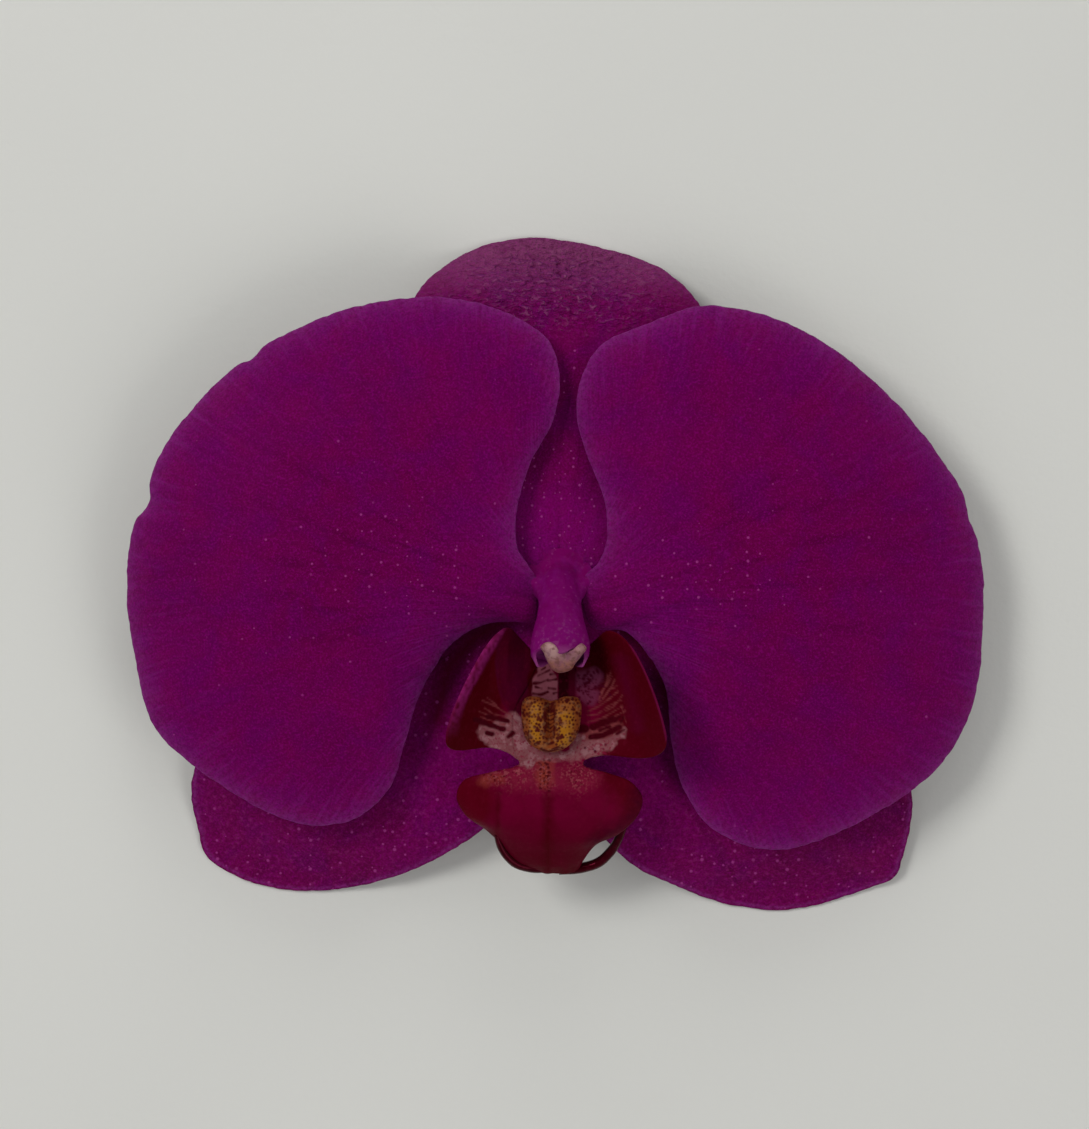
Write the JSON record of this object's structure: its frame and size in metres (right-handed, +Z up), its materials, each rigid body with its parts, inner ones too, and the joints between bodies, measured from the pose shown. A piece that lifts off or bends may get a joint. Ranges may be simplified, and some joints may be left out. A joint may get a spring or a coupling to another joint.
{
  "type": "moth orchid bloom",
  "caption": "Picked moth orchid bloom lying on its back: broad magenta petals over narrower sepals, a crimson lip with a yellow callus, a hooded column and a short bent stalk underneath.",
  "frame": {"origin": "on the surface that the bloom lies on, below the middle of its box", "axes": "+Z up from the surface, +Y along the dorsal sepal, +X to the right petal as the bloom is looked down on"},
  "size_m": [0.1005, 0.0796, 0.0217],
  "materials": {
    "petal": "velvety fresh petal",
    "sepal": "satin fresh sepal with fine pale speckles",
    "column": "waxy, slightly glossy",
    "anther_cap": "waxy cream",
    "pollinia": "waxy yellow",
    "lip": "glossy crimson with a white spotted throat",
    "callus": "waxy yellow with dark red dots",
    "pedicel": "smooth green flushed purple"
  },
  "bodies": {
    "root": {"petal_left": "petal", "petal_right": "petal", "sepal_dorsal": "sepal", "sepal_lateral_left": "sepal", "sepal_lateral_right": "sepal", "column": "column", "anther_cap": "anther_cap", "pollinarium": "pollinia", "lip": "lip", "lip_callus": "callus", "pedicel": "pedicel"}
  },
  "joints": []
}
